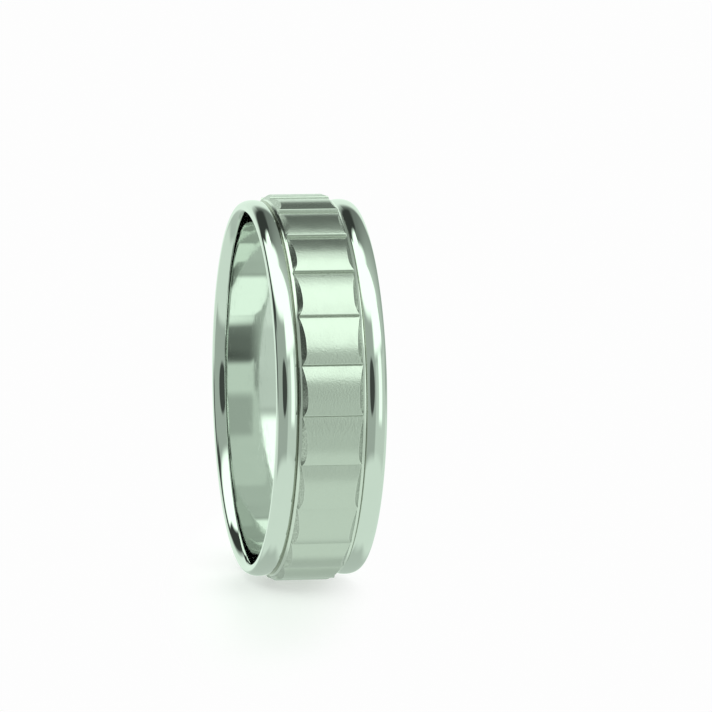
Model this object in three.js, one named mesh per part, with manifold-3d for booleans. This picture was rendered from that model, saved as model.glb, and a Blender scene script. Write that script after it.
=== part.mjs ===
// A wedding band standing on its edge: a comfort-fit liner, two half-round polished rails and a
// satin centre band whose outside is milled into a run of shallow pillow facets.
// Units are millimetres. The finger hole runs along X, Z is up, and the origin is the ring's centre.
// A section is a list of points (distance along the finger axis, radius from the finger axis).
import * as THREE from 'three';
import Module from 'manifold-3d';

const wasm = await Module();
wasm.setup();

// Driving dimensions of the whole band.
const BAND_WIDTH = 6.4;
const BORE_DIAMETER = 20.2;
const CREST_DIAMETER = 22.56;
const FACET_COUNT = 24;
// Play left for the solder or press fit between two pieces.
const JOINT_GAP = 0.02;

// Rails: the two half-round rims.
const RAIL_CREST_RADIUS = 10.96;
const RAIL_CREST_POSITION = 2.55;
const RAIL_FOOT_POSITION = 1.98;
const RAIL_OUTER_BULGE = 0.333;
const RAIL_FOOT_DROP = 0.148;
const SIDE_FLAT_HEIGHT = 0.15;

// Liner: the thin sleeve against the finger.
const LINER_HALF_WIDTH = 2.33;
const LINER_OUTER_RADIUS = 10.45;
const LINER_EDGE_RISE = 0.04;

// Centre band: the raised strip between the rails.
const CENTRE_HALF_WIDTH = RAIL_FOOT_POSITION - JOINT_GAP;
const CORNER_HALF_WIDTH = 1.77;
const CORNER_RADIUS = 11.06;
const FLANK_FOOT_RADIUS = 10.7;
const SCALLOP_DEPTH = 0.3;
const VALLEY_RADIUS = 11.04;
// Where the highest line of a facet lies, as a share of the facet from its leading valley.
const PILLOW_PEAK = 0.65;
const RISE_POWER = 2;
const FALL_POWER = 3;
// Elevation of one valley above the front of the ring, which sets how the ring is turned.
const VALLEY_ELEVATION = 11.76;

// How finely the round shapes are divided.
const RING_SEGMENTS = 96;
const STEPS_PER_FACET = 8;
const RAIL_ARC_STEPS = 4;
const BORE_ARC_STEPS = 6;
// Vertices that agree to this many decimals are one vertex.
const WELD_DECIMALS = 4;

const CREST_RADIUS = CREST_DIAMETER / 2;
const HALF_WIDTH = BAND_WIDTH / 2;
const BORE_RADIUS = BORE_DIAMETER / 2;
const LINER_EDGE_RADIUS = BORE_RADIUS + LINER_EDGE_RISE;
const SIDE_FLAT_TOP = RAIL_CREST_RADIUS - RAIL_OUTER_BULGE;
const SIDE_FLAT_BOTTOM = SIDE_FLAT_TOP - SIDE_FLAT_HEIGHT;

const polishedMetal = new THREE.MeshStandardMaterial({
  name: 'polished_white_metal',
  color: 0xd3dad2,
  roughness: 0.05,
  metalness: 1,
});

const satinMetal = new THREE.MeshStandardMaterial({
  name: 'satin_white_metal',
  color: 0xc6cfc4,
  roughness: 0.45,
  metalness: 1,
});

// Part of an ellipse from angle `start` to angle `end`, as section points.
function ellipseArc(centre, halfWidth, height, start, end, steps) {
  const points = [];
  for (let step = 0; step <= steps; step += 1) {
    const angle = start + ((end - start) * step) / steps;
    points.push([centre[0] + halfWidth * Math.cos(angle), centre[1] + height * Math.sin(angle)]);
  }
  return points;
}

// Turns a closed section about the finger axis into a ring.
function turned(section, segments, startAngle) {
  const points = section.map(([along, radius]) => new THREE.Vector2(radius, along));
  points.push(points[0].clone());
  const geometry = new THREE.LatheGeometry(points, segments, startAngle, 2 * Math.PI);
  geometry.rotateZ(-Math.PI / 2);
  return geometry;
}

// The same section on the other side of the ring, in the order that keeps it facing out.
function mirrored(section) {
  return section.map(([along, radius]) => [-along, radius]).reverse();
}

// A comfort-fit sleeve: its bore swells toward the finger at mid-width.
function linerSection() {
  const bore = [];
  for (let step = 0; step <= BORE_ARC_STEPS; step += 1) {
    const along = LINER_HALF_WIDTH * (1 - (2 * step) / BORE_ARC_STEPS);
    const rise = LINER_EDGE_RISE * (along / LINER_HALF_WIDTH) ** 2;
    bore.push([along, BORE_RADIUS + rise]);
  }
  return [[-LINER_HALF_WIDTH, LINER_OUTER_RADIUS], [LINER_HALF_WIDTH, LINER_OUTER_RADIUS], ...bore];
}

// A half-round rim with a rebate that seats on the end of the liner.
function railSection() {
  const seat = LINER_HALF_WIDTH + JOINT_GAP;
  const rebate = LINER_OUTER_RADIUS + JOINT_GAP;
  const outerReach = HALF_WIDTH - RAIL_CREST_POSITION;
  const footAngle = Math.acos((RAIL_CREST_POSITION - RAIL_FOOT_POSITION) / outerReach);
  const footBulge = RAIL_FOOT_DROP / (1 - Math.sin(footAngle));
  const footCentre = [RAIL_CREST_POSITION, RAIL_CREST_RADIUS - footBulge];
  const outerCentre = [RAIL_CREST_POSITION, SIDE_FLAT_TOP];
  const innerReach = HALF_WIDTH - seat;
  const innerDepth = SIDE_FLAT_BOTTOM - LINER_EDGE_RADIUS;
  const innerCentre = [seat, SIDE_FLAT_BOTTOM];
  const quarter = Math.PI / 2;
  const towardGroove = ellipseArc(
    footCentre, outerReach, footBulge, Math.PI - footAngle, quarter, RAIL_ARC_STEPS);
  const towardSide = ellipseArc(
    outerCentre, outerReach, RAIL_OUTER_BULGE, quarter, 0, RAIL_ARC_STEPS);
  const towardBore = ellipseArc(
    innerCentre, innerReach, innerDepth, 0, -quarter, RAIL_ARC_STEPS + 1);
  return [
    [seat, rebate],
    [RAIL_FOOT_POSITION, rebate],
    ...towardGroove,
    ...towardSide.slice(1),
    ...towardBore,
  ];
}

// Height of a facet above its valleys, from 0 to 1, across the facet from valley to valley.
function pillowHeight(share) {
  if (share <= PILLOW_PEAK) {
    return 1 - ((PILLOW_PEAK - share) / PILLOW_PEAK) ** RISE_POWER;
  }
  return 1 - ((share - PILLOW_PEAK) / (1 - PILLOW_PEAK)) ** FALL_POWER;
}

// The outline left by milling every facet, seen along the finger axis and run out past both sides.
function facetForm() {
  const outline = [];
  const facetAngle = 360 / FACET_COUNT;
  for (let facet = 0; facet < FACET_COUNT; facet += 1) {
    for (let step = 0; step < STEPS_PER_FACET; step += 1) {
      const share = step / STEPS_PER_FACET;
      const radius = VALLEY_RADIUS + (CREST_RADIUS - VALLEY_RADIUS) * pillowHeight(share);
      const elevation = THREE.MathUtils.degToRad(VALLEY_ELEVATION - facetAngle * (facet + share));
      outline.push(new THREE.Vector2(-radius * Math.sin(elevation), -radius * Math.cos(elevation)));
    }
  }
  const form = new THREE.ExtrudeGeometry(new THREE.Shape(outline), {
    depth: BAND_WIDTH,
    bevelEnabled: false,
  });
  form.translate(0, 0, -HALF_WIDTH);
  form.rotateY(Math.PI / 2);
  return form;
}

// The turned blank of the centre band before milling: steep flanks under a shallow cone on each side.
function centreBlank() {
  const bore = LINER_OUTER_RADIUS + JOINT_GAP;
  const coneSlope = (CREST_RADIUS - CORNER_RADIUS) / SCALLOP_DEPTH;
  const topHalfWidth = CORNER_HALF_WIDTH / 2;
  const topRadius = CORNER_RADIUS + coneSlope * (CORNER_HALF_WIDTH - topHalfWidth);
  const rightHalf = [
    [topHalfWidth, topRadius],
    [CORNER_HALF_WIDTH, CORNER_RADIUS],
    [CENTRE_HALF_WIDTH, FLANK_FOOT_RADIUS],
    [CENTRE_HALF_WIDTH, bore],
  ];
  const valleyAngle = THREE.MathUtils.degToRad(90 - VALLEY_ELEVATION);
  const section = [...mirrored(rightHalf), ...rightHalf];
  return turned(section, FACET_COUNT * STEPS_PER_FACET, valleyAngle);
}

// Hands a three.js geometry to the boolean library as one welded solid.
function toSolid(geometry) {
  const position = geometry.getAttribute('position');
  const index = geometry.getIndex();
  const cornerCount = index ? index.count : position.count;
  const welded = new Map();
  const vertices = [];
  const triangles = [];
  for (let corner = 0; corner < cornerCount; corner += 1) {
    const at = index ? index.getX(corner) : corner;
    const point = [position.getX(at), position.getY(at), position.getZ(at)];
    const key = point.map((value) => value.toFixed(WELD_DECIMALS)).join(' ');
    if (!welded.has(key)) {
      welded.set(key, vertices.length / 3);
      vertices.push(...point);
    }
    triangles.push(welded.get(key));
  }
  const kept = [];
  for (let start = 0; start < triangles.length; start += 3) {
    const [a, b, c] = triangles.slice(start, start + 3);
    if (a !== b && b !== c && c !== a) {
      kept.push(a, b, c);
    }
  }
  return new wasm.Manifold(new wasm.Mesh({
    numProp: 3,
    vertProperties: Float32Array.from(vertices),
    triVerts: Uint32Array.from(kept),
  }));
}

// Brings a solid back as a three.js geometry with flat faces.
function toGeometry(solid) {
  const { vertProperties, triVerts } = solid.getMesh();
  const geometry = new THREE.BufferGeometry();
  geometry.setAttribute('position', new THREE.BufferAttribute(vertProperties, 3));
  geometry.setIndex(new THREE.BufferAttribute(triVerts, 1));
  return geometry.toNonIndexed();
}

const band = new THREE.Group();
band.name = 'wedding_band';

// Adds one named piece to the ring.
function addPiece(name, geometry, material) {
  geometry.computeVertexNormals();
  const mesh = new THREE.Mesh(geometry, material);
  mesh.name = name;
  band.add(mesh);
}

addPiece('inner_liner', turned(linerSection(), RING_SEGMENTS, 0), polishedMetal);
addPiece('right_rail', turned(railSection(), RING_SEGMENTS, 0), polishedMetal);
addPiece('left_rail', turned(mirrored(railSection()), RING_SEGMENTS, 0), polishedMetal);
addPiece(
  'centre_band',
  toGeometry(toSolid(centreBlank()).intersect(toSolid(facetForm()))),
  satinMetal,
);

export default band;
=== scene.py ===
"""A wedding band standing on its edge: polished half-round rails either side of a satin faceted strip.

Lengths are metres in the frame's own axes: X along the finger, Z up, the ring's centre at the origin.
A section is a list of (distance along the finger axis, radius from the finger axis).
"""

import math

import bmesh
import bpy
from mathutils import Matrix, Vector


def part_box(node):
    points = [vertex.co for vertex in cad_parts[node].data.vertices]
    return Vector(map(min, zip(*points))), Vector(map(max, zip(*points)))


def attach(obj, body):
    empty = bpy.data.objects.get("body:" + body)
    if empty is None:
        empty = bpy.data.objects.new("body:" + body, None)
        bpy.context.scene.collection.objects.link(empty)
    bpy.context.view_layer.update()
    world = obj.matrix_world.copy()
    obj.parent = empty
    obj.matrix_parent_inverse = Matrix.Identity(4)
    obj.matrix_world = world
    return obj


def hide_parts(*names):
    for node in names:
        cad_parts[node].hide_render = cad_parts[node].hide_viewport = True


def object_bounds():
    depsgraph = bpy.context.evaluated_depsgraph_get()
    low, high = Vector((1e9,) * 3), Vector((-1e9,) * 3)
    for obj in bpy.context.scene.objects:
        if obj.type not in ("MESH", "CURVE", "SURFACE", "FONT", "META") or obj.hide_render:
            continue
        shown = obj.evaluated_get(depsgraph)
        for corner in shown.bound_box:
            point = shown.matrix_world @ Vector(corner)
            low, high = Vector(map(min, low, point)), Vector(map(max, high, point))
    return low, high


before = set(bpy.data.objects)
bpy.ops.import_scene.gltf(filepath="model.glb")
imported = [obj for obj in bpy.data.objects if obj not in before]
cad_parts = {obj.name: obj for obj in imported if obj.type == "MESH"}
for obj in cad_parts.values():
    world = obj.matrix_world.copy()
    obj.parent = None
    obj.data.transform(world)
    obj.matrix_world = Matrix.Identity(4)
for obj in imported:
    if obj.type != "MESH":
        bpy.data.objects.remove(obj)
cad_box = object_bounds()

MM = 0.001
SEAM = 0.015 * MM
TRENCH_ROUNDING = 0.01 * MM
FACETS = 24
FACET_ANGLE = 2 * math.pi / FACETS
VALLEY_ELEVATION = math.radians(11.76)

# ---------------------------------------------------------------- sizes taken from the frame


def reach(node):
    """(half width, outer radius) of a ring-shaped CAD node."""
    low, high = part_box(node)
    return max(abs(low.x), abs(high.x)), high.z


HALF_WIDTH, RAIL_CREST = reach("right_rail")
CREST = reach("centre_band")[1]
LINER_HALF, LINER_OUTER = reach("inner_liner")
RAIL_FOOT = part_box("right_rail")[0].x
CENTRE_HALF = RAIL_FOOT - SEAM

BORE = 10.1 * MM
LINER_RISE = 0.01 * MM
RAIL_CREST_AT = 2.55 * MM
RAIL_TOP_BULGE = 0.333 * MM
RAIL_FOOT_DROP = 0.148 * MM
SIDE_FLAT = 0.15 * MM
CORNER_HALF = 1.77 * MM
VALLEY = 11.04 * MM
SHELF = 10.97 * MM
SHELF_FALL = 0.03 * MM
TRENCH_WIDTH = 0.05 * MM
TRENCH_FLOOR = 10.80 * MM
SCALLOP_DEPTH = 0.29 * MM
WORN_EDGE = 0.03 * MM
CREASE_DEPTH = 0.04 * MM
CREASE_SHARE = 0.006
FACET_HEIGHT = CREST - VALLEY
# Faces of the liner and rails that meet more sharply than this keep a crisp corner.
CORNER_ANGLE = math.radians(50)
# Along a facet, from its leading valley to its trailing one, as shares of its length.
TOP_CREST = 0.62
LIP_START = 0.978
LIP_HEIGHT = 0.70
SCALLOP_PEAK = 0.65
# The least distance that keeps two neighbouring points of a section apart.
POINT_GAP = 0.002 * MM
LINER_STEPS = 40
ARC_STEPS = 24

# ---------------------------------------------------------------- mesh helpers


def new_piece(name, mesh, replaced, material):
    """Adds a smooth-shaded piece that stands for a CAD node."""
    piece = bpy.data.objects.new(name, mesh)
    bpy.context.scene.collection.objects.link(piece)
    mesh.polygons.foreach_set("use_smooth", [True] * len(mesh.polygons))
    mesh.materials.append(material)
    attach(piece, "root")
    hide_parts(replaced)
    return piece


def loft(name, stations):
    """A closed ring from a closed section at each (angle, section) station."""
    mesh = bpy.data.meshes.new(name)
    build = bmesh.new()
    rows = []
    for angle, section in stations:
        rows.append([
            build.verts.new((along, -radius * math.cos(angle), radius * math.sin(angle)))
            for along, radius in section
        ])
    for here, there in zip(rows, rows[1:] + rows[:1]):
        count = len(here)
        for k in range(count):
            after = (k + 1) % count
            build.faces.new((here[k], here[after], there[after], there[k]))
    bmesh.ops.recalc_face_normals(build, faces=build.faces)
    build.to_mesh(mesh)
    build.free()
    return mesh


def turned(name, section, segments=360):
    """A closed section turned about the finger axis, with its square corners kept crisp."""
    mesh = loft(name, [(2 * math.pi * k / segments, section) for k in range(segments)])
    mesh.set_sharp_from_angle(angle=CORNER_ANGLE)
    return mesh


def arc(centre, across, up, start, end, steps):
    """Points on part of an ellipse."""
    points = []
    for k in range(steps + 1):
        angle = start + (end - start) * k / steps
        points.append((centre[0] + across * math.cos(angle), centre[1] + up * math.sin(angle)))
    return points


def mirrored(section):
    """The same section on the other side of the ring."""
    return [(-along, radius) for along, radius in reversed(section)]


# ---------------------------------------------------------------- materials

# Texture scales are features per metre. A pair of colours or numbers is (least, most).
HAZE_SCALE = 900.0
HAZE_RANGE = (0.35, 0.7)
HAIRS_ACROSS = 30000
HAIRS_AROUND = 900
HAIR_RANGE = (0.60, 0.72)
HAIR_ROUGHNESS = 0.05
POLISH_ROUGHNESS = (0.02, 0.06)
POLISH_COLOURS = ((0.715, 0.745, 0.715, 1), (0.745, 0.770, 0.740, 1))

SATIN_ROUGHNESS = 0.22
SATIN_VARIATION = 0.03
WORN_ROUGHNESS = 0.10
WORN_GRAIN = 0.1
SPECKLE_SCALE = 12000.0
SPECKLE_RANGE = (0.42, 0.60)
BLAST_SCALE = 9500.0
PATCH_SCALE = 1500.0
PATCH_RANGE = (0.3, 0.7)
STROKES_ACROSS = 9000
STROKES_AROUND = 2500
STROKE_SHARE = 0.2
TOP_COLOURS = ((0.585, 0.610, 0.568, 1), (0.665, 0.695, 0.645, 1))
# The scallops' colours: darker than the tops, partly for a coarser blast and partly as painted shade.
SCALLOP_BLAST_AND_SHADE_COLOURS = ((0.40, 0.415, 0.385, 1), (0.60, 0.625, 0.58, 1))
# Worn edges, lips and shelf: a smoother polish, and this brighter colour is a painted highlight.
WORN_AND_HIGHLIGHT_COLOUR = (0.74, 0.765, 0.72, 1)
# Painted shade darkens the narrow trenches beside the rails.
TRENCH_SHADE_COLOUR = (0.42, 0.44, 0.37, 1)
GRAIN_DEPTH = 0.0055 * MM
SCALLOP_GRAIN_DEPTH = 0.009 * MM
HAIRLINE_DEPTH = 0.00012 * MM


class Nodes:
    """A short way to build the node tree of a new material or world."""

    def __init__(self, owner):
        owner.use_nodes = True
        self.tree = owner.node_tree

    def add(self, kind, **inputs):
        """A new node with some inputs set. A space in an input's name is written as an underscore."""
        node = self.tree.nodes.new(kind)
        for key, value in inputs.items():
            node.inputs[key.replace("_", " ")].default_value = value
        return node

    def link(self, source, target):
        """Joins an output to an input."""
        self.tree.links.new(source, target)

    def feed(self, value, socket):
        """Gives an input a number, a colour or another node's output."""
        if isinstance(value, (int, float, tuple)):
            socket.default_value = value
        else:
            self.link(value, socket)

    def place(self):
        """Where a point is, in metres."""
        return self.add("ShaderNodeTexCoord").outputs["Object"]

    def split(self, vector):
        """The three parts of a vector."""
        node = self.add("ShaderNodeSeparateXYZ")
        self.link(vector, node.inputs[0])
        return node.outputs

    def along_ring(self, across, around):
        """Coordinates that stretch a texture round the finger axis, in features per metre."""
        x, y, z = self.split(self.place())
        turn = self.calculate("ARCTAN2", z, self.calculate("MULTIPLY", y, -1.0))
        flat = self.add("ShaderNodeCombineXYZ")
        self.link(self.calculate("MULTIPLY", x, across), flat.inputs[0])
        self.link(self.calculate("MULTIPLY", turn, CREST * around), flat.inputs[1])
        return flat.outputs[0]

    def calculate(self, operation, *values):
        """A sum on values that are each a number or another node's output."""
        node = self.tree.nodes.new("ShaderNodeMath")
        node.operation = operation
        for socket, value in zip(node.inputs, values):
            self.feed(value, socket)
        return node.outputs[0]

    def mark(self, name):
        """The share, 0 to 1, that the mesh stores on its vertices under this name."""
        node = self.add("ShaderNodeAttribute")
        node.attribute_name = name
        return node.outputs["Fac"]

    def noise(self, where, scale, detail, roughness):
        """A noise texture, 0 to 1, read at the given coordinates."""
        node = self.add("ShaderNodeTexNoise", Scale=scale, Detail=detail, Roughness=roughness)
        self.link(where, node.inputs["Vector"])
        return node.outputs["Fac"]

    def bump(self, height, depth, invert=False):
        """The normal of a fine relief: a height, 0 to 1, over a depth in metres."""
        node = self.add("ShaderNodeBump", Strength=1.0)
        node.invert = invert
        self.link(height, node.inputs["Height"])
        self.feed(depth, node.inputs["Distance"])
        return node.outputs["Normal"]

    def ramp(self, value, low, high, at_low=0.0, at_high=1.0, smooth=False):
        """Maps low..high to at_low..at_high, straight or eased, and holds beyond the ends."""
        node = self.add("ShaderNodeMapRange", From_Min=low, From_Max=high, To_Min=at_low, To_Max=at_high)
        node.interpolation_type = "SMOOTHSTEP" if smooth else "LINEAR"
        self.link(value, node.inputs["Value"])
        return node.outputs["Result"]

    def blend(self, under, over, share):
        """A number between two numbers, each a value or another node's output."""
        node = self.add("ShaderNodeMix")
        for value, socket in zip((share, under, over), (node.inputs[0], node.inputs[2], node.inputs[3])):
            self.feed(value, socket)
        return node.outputs[0]

    def mix(self, under, over, share):
        """A colour between two colours, each a value or another node's output."""
        node = self.tree.nodes.new("ShaderNodeMix")
        node.data_type = "RGBA"
        colours = [socket for socket in node.inputs if socket.type == "RGBA"]
        for socket, value in zip(colours, (under, over)):
            self.feed(value, socket)
        self.link(share, node.inputs[0])
        return [socket for socket in node.outputs if socket.type == "RGBA"][0]


class MaterialNodes(Nodes):
    """The nodes of a new material, starting from its Principled shader."""

    def __init__(self, name):
        self.material = bpy.data.materials.new(name)
        super().__init__(self.material)
        self.shader = self.tree.nodes["Principled BSDF"]

    def set(self, **inputs):
        """Feeds inputs of the Principled shader, named as for add."""
        for key, value in inputs.items():
            self.feed(value, self.shader.inputs[key.replace("_", " ")])


def polished_metal():
    """Bright polish: a faint haze that wanders over the surface, crossed by hairlines from wear."""
    n = MaterialNodes("polished_white_metal")
    haze = n.noise(n.place(), HAZE_SCALE, detail=4.0, roughness=0.6)
    hairs = n.noise(n.along_ring(HAIRS_ACROSS, HAIRS_AROUND), 1.0, detail=2.0, roughness=0.5)
    hair = n.ramp(hairs, *HAIR_RANGE)
    clean = n.ramp(haze, *HAZE_RANGE, *POLISH_ROUGHNESS)
    n.set(
        Base_Color=n.mix(*POLISH_COLOURS, haze),
        Metallic=1,
        Roughness=n.calculate("ADD", clean, n.calculate("MULTIPLY", hair, HAIR_ROUGHNESS)),
        Normal=n.bump(hair, HAIRLINE_DEPTH, invert=True),
    )
    return n.material


def satin_metal():
    """Blasted satin: fine grain, darker and deeper in the scallops, smooth and bright on worn edges. The
    scallops' darker colour is partly a coarser blast and partly painted shade, the worn edges' brighter
    colour is a painted highlight over a smoother polish, and the trenches' darker colour is painted
    shade.
    """
    n = MaterialNodes("satin_white_metal")
    scallop = n.mark("scallop")
    polish_and_highlight = n.mark("polish_and_highlight")
    n.set(
        Base_Color=satin_colour(n, scallop, polish_and_highlight),
        Metallic=1,
        Roughness=satin_roughness(n, polish_and_highlight),
        Normal=satin_relief(n, scallop, polish_and_highlight),
    )
    return n.material


def satin_colour(n, scallop, polish_and_highlight):
    """Speckled tops, scallops darker partly for a coarser blast and partly as painted shade, worn edges
    brighter with a painted highlight, and trenches darkened with painted shade.
    """
    speckle = n.noise(n.place(), SPECKLE_SCALE, detail=3.0, roughness=0.7)
    top = n.mix(*TOP_COLOURS, speckle)
    # The scallops' darker colour: partly a coarser blast, partly painted shade.
    scallop_blast_and_shade = n.mix(*SCALLOP_BLAST_AND_SHADE_COLOURS, n.ramp(speckle, *SPECKLE_RANGE))
    # A painted highlight brightens the worn edges, lips and shelf.
    finish_shade_and_highlight = n.mix(n.mix(top, scallop_blast_and_shade, scallop), WORN_AND_HIGHLIGHT_COLOUR, polish_and_highlight)
    # Painted shade darkens the trenches.
    return n.mix(finish_shade_and_highlight, TRENCH_SHADE_COLOUR, n.mark("trench"))


def satin_roughness(n, polish_and_highlight):
    """Satin that varies a little from patch to patch, and is smoother on worn edges."""
    patches = n.noise(n.place(), PATCH_SCALE, detail=3.0, roughness=0.5)
    smoothest = SATIN_ROUGHNESS - SATIN_VARIATION
    roughest = SATIN_ROUGHNESS + SATIN_VARIATION
    satin = n.ramp(patches, *PATCH_RANGE, smoothest, roughest)
    shine = n.calculate("MULTIPLY", polish_and_highlight, n.calculate("SUBTRACT", WORN_ROUGHNESS, satin))
    return n.calculate("ADD", satin, shine)


def satin_relief(n, scallop, polish_and_highlight):
    """Blasted grain with faint strokes round the ring: deeper in scallops, shallow on worn edges."""
    blast = n.noise(n.place(), BLAST_SCALE, detail=1.0, roughness=0.5)
    strokes = n.noise(n.along_ring(STROKES_ACROSS, STROKES_AROUND), 1.0, detail=2.0, roughness=0.6)
    grain = n.calculate("ADD", blast, n.calculate("MULTIPLY", strokes, STROKE_SHARE))
    depth = n.ramp(scallop, 0, 1, GRAIN_DEPTH, SCALLOP_GRAIN_DEPTH)
    unpolished = n.ramp(polish_and_highlight, 0, 1, 1, WORN_GRAIN)
    return n.bump(grain, n.calculate("MULTIPLY", depth, unpolished))


POLISHED = polished_metal()
SATIN = satin_metal()

# ---------------------------------------------------------------- liner and rails


def liner_section():
    """A flat outside and a comfort-fit bore that opens slightly towards its two edges."""
    bore = []
    for k in range(LINER_STEPS + 1):
        along = LINER_HALF * (1 - 2 * k / LINER_STEPS)
        bore.append((along, BORE + LINER_RISE * (along / LINER_HALF) ** 2))
    return [(-LINER_HALF, LINER_OUTER), (LINER_HALF, LINER_OUTER)] + bore


def rail_section():
    """The right rail: a rounded crest, a short flat at the side, and a curve in to the bore."""
    quarter = math.pi / 2
    seat = LINER_HALF
    rebate = LINER_OUTER + SEAM
    outer_reach = HALF_WIDTH - RAIL_CREST_AT
    foot_angle = math.acos((RAIL_CREST_AT - RAIL_FOOT) / outer_reach)
    foot_bulge = RAIL_FOOT_DROP / (1 - math.sin(foot_angle))
    top = RAIL_CREST - RAIL_TOP_BULGE
    bottom = top - SIDE_FLAT
    inner_depth = bottom - (BORE + LINER_RISE)
    section = [(seat, rebate), (RAIL_FOOT, rebate)]
    section += arc(
        (RAIL_CREST_AT, RAIL_CREST - foot_bulge),
        outer_reach,
        foot_bulge,
        math.pi - foot_angle,
        quarter,
        ARC_STEPS,
    )
    section += arc((RAIL_CREST_AT, top), outer_reach, RAIL_TOP_BULGE, quarter, 0, ARC_STEPS)[1:]
    section += arc((seat, bottom), HALF_WIDTH - seat, inner_depth, 0, -quarter, ARC_STEPS)
    return section


new_piece("liner_bore", turned("liner_bore", liner_section()), "inner_liner",
          POLISHED)
new_piece("right_rim", turned("right_rim", rail_section()), "right_rail",
          POLISHED)
new_piece("left_rim", turned("left_rim", mirrored(rail_section())), "left_rail",
          POLISHED)

# ---------------------------------------------------------------- faceted centre band


def top_height(share):
    """Height of a facet's top over its valleys, 0 to 1: a long arch, then a short steep lip."""
    if share <= TOP_CREST:
        return 1 - ((TOP_CREST - share) / TOP_CREST) ** 2
    if share <= LIP_START:
        return 1 - (1 - LIP_HEIGHT) * ((share - TOP_CREST) / (LIP_START - TOP_CREST)) ** 2
    down = (share - LIP_START) / (1 - LIP_START)
    return LIP_HEIGHT * (0.5 + 0.5 * math.cos(math.pi * down))


def scallop_width(share):
    """How far a scallop cuts into the top, 0 to 1: a lens fuller toward the trailing valley."""
    if share <= SCALLOP_PEAK:
        return 1 - ((SCALLOP_PEAK - share) / SCALLOP_PEAK) ** 2
    return 1 - ((share - SCALLOP_PEAK) / (1 - SCALLOP_PEAK)) ** 3


TOP_STEPS = 12
# Places in half a section, counted from its middle.
AT_WORN_EDGE = (TOP_STEPS + 1, TOP_STEPS + 2)
AT_SCALLOP = (TOP_STEPS + 3, TOP_STEPS + 4)
AT_SHELF = (TOP_STEPS + 5, TOP_STEPS + 6, TOP_STEPS + 7)
AT_TRENCH = (TOP_STEPS + 8, TOP_STEPS + 9, TOP_STEPS + 10)
HALF_COUNT = TOP_STEPS + 11
# How near the start of the lip, as a share of a facet, its edge counts as worn: smoother, and painted
# with a highlight.
LIP_REACH = 0.005
# How near each end of a scallop's slope, and of the shelf, its nearest point stands, as a share.
SLOPE_END = 0.02
SHELF_END = 0.05
# Stations along a facet: evenly spaced, with more of them in the valleys and on the lip.
FACET_STEPS = 24
VALLEY_SHARES = [0, 0.003, 0.006, 0.015, 0.03]
LIP_SHARES = [0.94, 0.960, 0.972, 0.978, 0.982, 0.986, 0.990, 0.993, 0.995, 0.997]


def between_points(start, end, share):
    """The point a share of the way from start to end."""
    return tuple(a + (b - a) * share for a, b in zip(start, end))


def centre_section(share):
    """The section of the centre band at a share of the way along a facet."""
    radius = VALLEY + FACET_HEIGHT * top_height(share)
    to_valley = min(share, 1 - share)
    radius -= CREASE_DEPTH * max(0, 1 - to_valley / CREASE_SHARE)
    cut = scallop_width(share)
    edge = (CORNER_HALF - max(SCALLOP_DEPTH * cut, 2 * POINT_GAP), radius)
    inside = edge[0] - WORN_EDGE
    corner = (CORNER_HALF, SHELF)
    lip = (RAIL_FOOT - TRENCH_WIDTH, SHELF - SHELF_FALL)
    half = [(inside * k / TOP_STEPS, radius) for k in range(TOP_STEPS + 1)]
    half += [(edge[0] - POINT_GAP, radius), edge]
    half += [between_points(edge, corner, SLOPE_END), between_points(edge, corner, 1 - SLOPE_END)]
    half += [corner, between_points(corner, lip, 1 - SHELF_END), lip]
    half += [(lip[0], lip[1] - TRENCH_ROUNDING), (lip[0], TRENCH_FLOOR), (CENTRE_HALF, TRENCH_FLOOR)]
    inner = LINER_OUTER + SEAM
    return mirrored(half[1:]) + half + [(CENTRE_HALF, inner), (-CENTRE_HALF, inner)]


def mark_vertices(mesh):
    """Stores where the scallops, polished edges and trenches are, for the material to read; it paints
    shade in the scallops and trenches and a highlight on the polished edges.
    """
    marks = [mesh.attributes.new(name, "FLOAT", "POINT") for name in ("scallop", "polish_and_highlight", "trench")]
    middle = HALF_COUNT - 1
    section_count = 2 * HALF_COUNT + 1
    shares = facet_shares()
    for k in range(len(mesh.vertices)):
        place = abs(k % section_count - middle)
        share = shares[k // section_count % len(shares)]
        on_lip = abs(share - LIP_START) < LIP_REACH and place <= TOP_STEPS
        # Worn edges, lip and shelf: smoother, and painted with a highlight in the material's colour.
        on_polish_and_highlight = on_lip or place in AT_WORN_EDGE + AT_SHELF
        for mark, is_there in zip(marks, (place in AT_SCALLOP, on_polish_and_highlight, place in AT_TRENCH)):
            mark.data[k].value = 1.0 if is_there else 0.0


def facet_shares():
    """Where the stations stand along a facet, as shares of its length."""
    return VALLEY_SHARES + [k / FACET_STEPS for k in range(1, FACET_STEPS - 1)] + LIP_SHARES


def centre_stations():
    """Every (angle, section) round the centre band, facet by facet."""
    stations = []
    for facet in range(FACETS):
        for share in facet_shares():
            angle = VALLEY_ELEVATION - FACET_ANGLE * (facet + share)
            stations.append((angle, centre_section(share)))
    return stations


facets_mesh = loft("centre_facets", centre_stations())
mark_vertices(facets_mesh)
new_piece("centre_facets", facets_mesh, "centre_band", SATIN)

# ---------------------------------------------------------------- floor, camera and light

FLOOR_Z = cad_box[0].z
FLOOR_HALF = 2.0
SHADOW_AZIMUTH = math.radians(-11)
SHADOW_SHIFT = 1.4 * MM
SHADOW_HALF_WIDTH = 6.5 * MM
SHADOW_REACH = 52 * MM
# Where the shadow area starts to fade to plain white, as a share of the way to its edge.
FADE_START = 0.2
# Slightly pink, so that the greenish studio light leaves it looking white.
FLOOR_COLOUR = (0.79, 0.72, 0.77, 1)
FLOOR_ROUGHNESS = 0.45
FLOOR_SPECULAR = 0.25
FLOOR_GLOW = 0.36
WHITE_GLOW = 0.985


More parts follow.
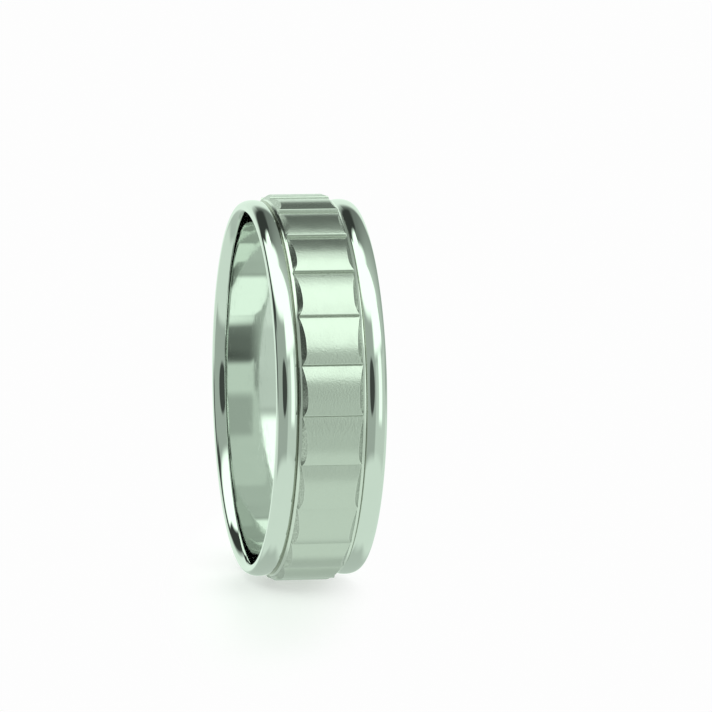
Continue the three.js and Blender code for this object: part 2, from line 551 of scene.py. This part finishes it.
def distance_from_shadow(n):
    """How far a point is from the middle of the shadow's area: 1 at the area's oval edge."""
    x, y, _ = n.split(n.place())
    turn_cos = math.cos(SHADOW_AZIMUTH)
    turn_sin = math.sin(SHADOW_AZIMUTH)
    shifted = n.calculate("ADD", x, SHADOW_SHIFT)
    across = n.calculate(
        "ADD", n.calculate("MULTIPLY", shifted, turn_cos), n.calculate("MULTIPLY", y, turn_sin))
    along = n.calculate(
        "SUBTRACT", n.calculate("MULTIPLY", x, turn_sin), n.calculate("MULTIPLY", y, turn_cos))
    across = n.calculate("POWER", n.calculate("DIVIDE", across, SHADOW_HALF_WIDTH), 2.0)
    along = n.calculate("POWER", n.calculate("DIVIDE", along, SHADOW_REACH), 2.0)
    return n.calculate("SQRT", n.calculate("ADD", across, along))


def floor_paper():
    """Pale paper that glows evenly away from the ring, so only a soft shadow near it shows."""
    n = MaterialNodes("floor_paper")
    n.set(
        Base_Color=FLOOR_COLOUR,
        Roughness=FLOOR_ROUGHNESS,
        Specular_IOR_Level=FLOOR_SPECULAR,
        Emission_Color=(1, 1, 1, 1),
        Emission_Strength=FLOOR_GLOW,
    )
    glow = n.add("ShaderNodeEmission", Strength=WHITE_GLOW)
    choose = n.add("ShaderNodeMixShader")
    n.link(n.ramp(distance_from_shadow(n), FADE_START, 1.0, smooth=True), choose.inputs[0])
    n.link(n.shader.outputs[0], choose.inputs[1])
    n.link(glow.outputs[0], choose.inputs[2])
    n.link(choose.outputs[0], n.tree.nodes["Material Output"].inputs["Surface"])
    return n.material


def add_floor():
    """A plain pale table. The metal sees the studio's own table tone in its place."""
    mesh = bpy.data.meshes.new("floor")
    build = bmesh.new()
    build.faces.new([
        build.verts.new((x * FLOOR_HALF, y * FLOOR_HALF, FLOOR_Z))
        for x, y in ((-1, -1), (1, -1), (1, 1), (-1, 1))
    ])
    build.to_mesh(mesh)
    build.free()
    floor = bpy.data.objects.new("floor", mesh)
    bpy.context.scene.collection.objects.link(floor)
    mesh.materials.append(floor_paper())
    floor.visible_glossy = False
    floor.visible_shadow = False


add_floor()

BACK_LIGHT_AZIMUTH = math.radians(166)
BACK_LIGHT_ELEVATION = math.radians(27)
BACK_LIGHT_STRENGTH = 1.1
BACK_LIGHT_SPREAD = math.radians(24)


def towards(azimuth, elevation):
    """The direction at an azimuth, growing to the right of the front, and an elevation."""
    return Vector((
        math.sin(azimuth) * math.cos(elevation),
        -math.cos(azimuth) * math.cos(elevation),
        math.sin(elevation),
    ))


def add_back_light():
    """A soft light from behind that lays the ring's shadow on the table; the metal doesn't see it."""
    data = bpy.data.lights.new("back_light", "SUN")
    data.energy = BACK_LIGHT_STRENGTH
    data.angle = BACK_LIGHT_SPREAD
    light = bpy.data.objects.new("back_light", data)
    bpy.context.scene.collection.objects.link(light)
    source = towards(BACK_LIGHT_AZIMUTH, BACK_LIGHT_ELEVATION)
    light.rotation_euler = source.to_track_quat("Z", "Y").to_euler()
    light.visible_glossy = False


add_back_light()

VIEW_AZIMUTH = math.radians(-11.115)
VIEW_ELEVATION = math.radians(5.21)
VIEW_DISTANCE = 395.67 * MM
VIEW_RIGHT = 3.4128 * MM
VIEW_UP = 1.8218 * MM
IMAGE_PIXELS = 712
FOCAL_PIXELS = 6776.74
SENSOR = 36.0
NEAREST_SEEN = 10 * MM


def add_camera():
    """A viewpoint a little left of the front and above it, shifted so that the ring sits off centre."""
    data = bpy.data.cameras.new("camera")
    data.sensor_width = SENSOR
    data.lens = FOCAL_PIXELS * SENSOR / IMAGE_PIXELS
    data.clip_start = NEAREST_SEEN
    camera = bpy.data.objects.new("camera", data)
    bpy.context.scene.collection.objects.link(camera)
    back = towards(VIEW_AZIMUTH, VIEW_ELEVATION)
    right = Vector((math.cos(VIEW_AZIMUTH), math.sin(VIEW_AZIMUTH), 0))
    up = back.cross(right)
    place = back * VIEW_DISTANCE + right * VIEW_RIGHT + up * VIEW_UP
    turn = Matrix((right, up, back)).transposed().to_4x4()
    camera.matrix_world = Matrix.Translation(place) @ turn
    bpy.context.scene.camera = camera


add_camera()


# A light tent, by direction in degrees: azimuth grows to the right, elevation is above the horizon.
# Each piece is (brightness, azimuths, elevations, edge softness). Those in front have azimuth 0 at the
# front of the ring, those behind have it straight behind.
STUDIO_TINT = (0.626, 0.753, 0.649)
OVERHEAD = 2.1
UPPER_LEFT = 0.65
TABLE = 1.2
HORIZON = 0.9
TABLE_EDGE = (-12, -4)
WALL_FOOT = (-4, 0)
UPPER_EDGE = (40, 54)
RIGHT_WALL_NEAR = 1.0
RIGHT_WALL_FAR = 0.30
RIGHT_WALL_FADE = (62, 160)
RIGHT_WALL_AZIMUTHS = (66, 200)
RIGHT_WALL_ELEVATIONS = (8, 78)
WALL_SOFTNESS = 5

BACK_WALL = (1.35, (-85, 40), (-12, 28), 5)
BACK_TABLE = (0.82, (-30, 30), (-68, -14), 8)
BACK_GAP = (0.07, (-48, 12), (35, 64), 4)
BEHIND = (BACK_WALL, BACK_TABLE, BACK_GAP)

FRONT_WALL = (0.66, (-75, 8), (-38, 44), 5)
RIGHT_PANEL = (1.0, (8, 75), (-36, 20), 4)
STRIP_BOX = (1.9, (22, 42), (-16, 24), 4)
OVERHEAD_BOX = (OVERHEAD, (5, 60), (24, 60), 5)
LEFT_CARD = (0.12, (-106, -78), (-6, 32), 6)
LEFT_GAP = (0.07, (-140, -62), (28, 44), 4)
IN_FRONT = (FRONT_WALL, RIGHT_PANEL, STRIP_BOX, OVERHEAD_BOX, LEFT_CARD, LEFT_GAP)

# The dark oval opening that the camera looks in through.
CAMERA_OPENING = (0.10, (-26, 2), (-12, 22), 2)


def window(n, value, limits, soft):
    """1 between the limits and 0 outside them, with soft edges."""
    low, high = limits
    rise = n.ramp(value, low - soft, low + soft, smooth=True)
    fall = n.ramp(value, high - soft, high + soft, 1, 0, smooth=True)
    return n.calculate("MULTIPLY", rise, fall)


def panel(n, azimuth, elevation, azimuths, elevations, soft):
    """1 inside a soft-edged rectangle of directions and 0 outside it."""
    across = window(n, azimuth, azimuths, soft)
    up = window(n, elevation, elevations, soft)
    return n.calculate("MULTIPLY", across, up)


def oval(n, azimuth, elevation, azimuths, elevations, soft):
    """1 inside a soft-edged oval of directions and 0 outside it."""
    width = (azimuths[1] - azimuths[0]) / 2
    height = (elevations[1] - elevations[0]) / 2
    across = n.calculate("DIVIDE", n.calculate("SUBTRACT", azimuth, sum(azimuths) / 2), width)
    up = n.calculate("DIVIDE", n.calculate("SUBTRACT", elevation, sum(elevations) / 2), height)
    squares = n.calculate("ADD", n.calculate("POWER", across, 2), n.calculate("POWER", up, 2))
    edge = soft / min(width, height)
    return n.ramp(n.calculate("SQRT", squares), 1 - edge, 1 + edge, 1, 0, smooth=True)


def tent_brightness(n, front, back, elevation):
    """The light from a direction: a gradient from table to ceiling, with the tent's pieces over it."""
    table = n.ramp(elevation, *TABLE_EDGE, TABLE, HORIZON, smooth=True)
    upper = n.ramp(elevation, *UPPER_EDGE, UPPER_LEFT, OVERHEAD, smooth=True)
    light = n.blend(table, upper, n.ramp(elevation, *WALL_FOOT, smooth=True))
    right_wall = n.ramp(front, *RIGHT_WALL_FADE, RIGHT_WALL_NEAR, RIGHT_WALL_FAR)
    on_wall = panel(n, front, elevation, RIGHT_WALL_AZIMUTHS, RIGHT_WALL_ELEVATIONS, WALL_SOFTNESS)
    light = n.blend(light, right_wall, on_wall)
    for pieces, azimuth in ((BEHIND, back), (IN_FRONT, front)):
        for brightness, *extent in pieces:
            light = n.blend(light, brightness, panel(n, azimuth, elevation, *extent))
    brightness, *extent = CAMERA_OPENING
    return n.blend(light, brightness, oval(n, front, elevation, *extent))


def add_world():
    """The light tent, drawn by direction. The camera itself sees plain white behind the ring."""
    world = bpy.data.worlds.new("studio")
    n = Nodes(world)
    studio = n.tree.nodes["Background"]
    x, y, z = n.split(n.add("ShaderNodeTexCoord").outputs["Generated"])
    front = n.calculate("DEGREES", n.calculate("ARCTAN2", x, n.calculate("MULTIPLY", y, -1)))
    back = n.calculate("DEGREES", n.calculate("ARCTAN2", x, y))
    elevation = n.calculate("DEGREES", n.calculate("ARCSINE", z))
    tint = n.add("ShaderNodeVectorMath")
    tint.operation = "SCALE"
    tint.inputs[0].default_value = STUDIO_TINT
    n.link(tent_brightness(n, front, back, elevation), tint.inputs["Scale"])
    n.link(tint.outputs[0], studio.inputs["Color"])

    plain = n.add("ShaderNodeBackground", Color=(1, 1, 1, 1))
    path = n.add("ShaderNodeLightPath")
    choose = n.add("ShaderNodeMixShader")
    n.link(path.outputs["Is Camera Ray"], choose.inputs[0])
    n.link(studio.outputs[0], choose.inputs[1])
    n.link(plain.outputs[0], choose.inputs[2])
    n.link(choose.outputs[0], n.tree.nodes["World Output"].inputs["Surface"])
    bpy.context.scene.world = world


add_world()
bpy.context.scene.view_settings.view_transform = "Standard"
